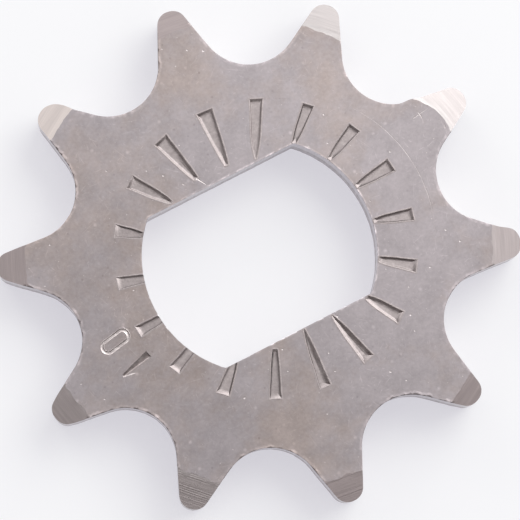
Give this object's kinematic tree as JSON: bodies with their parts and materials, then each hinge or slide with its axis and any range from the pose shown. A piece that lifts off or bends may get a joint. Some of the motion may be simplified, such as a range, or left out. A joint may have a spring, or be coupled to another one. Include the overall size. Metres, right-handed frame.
{
  "type": "chain sprocket",
  "caption": "Flat stamped steel chain sprocket with bevelled teeth, a double-D bore and a ring of wedge-shaped punch marks round the bore.",
  "frame": {"origin": "on the axis, at the plain lower face that the plate rests on", "axes": "+Z along the axis, out of the face with the punch marks; +X along the two flats of the bore"},
  "size_m": [0.0434, 0.044, 0.0044],
  "materials": {
    "steel": "dull grey stamped steel with fine scuffs"
  },
  "bodies": {
    "root": {"sprocket": "steel"}
  },
  "joints": []
}
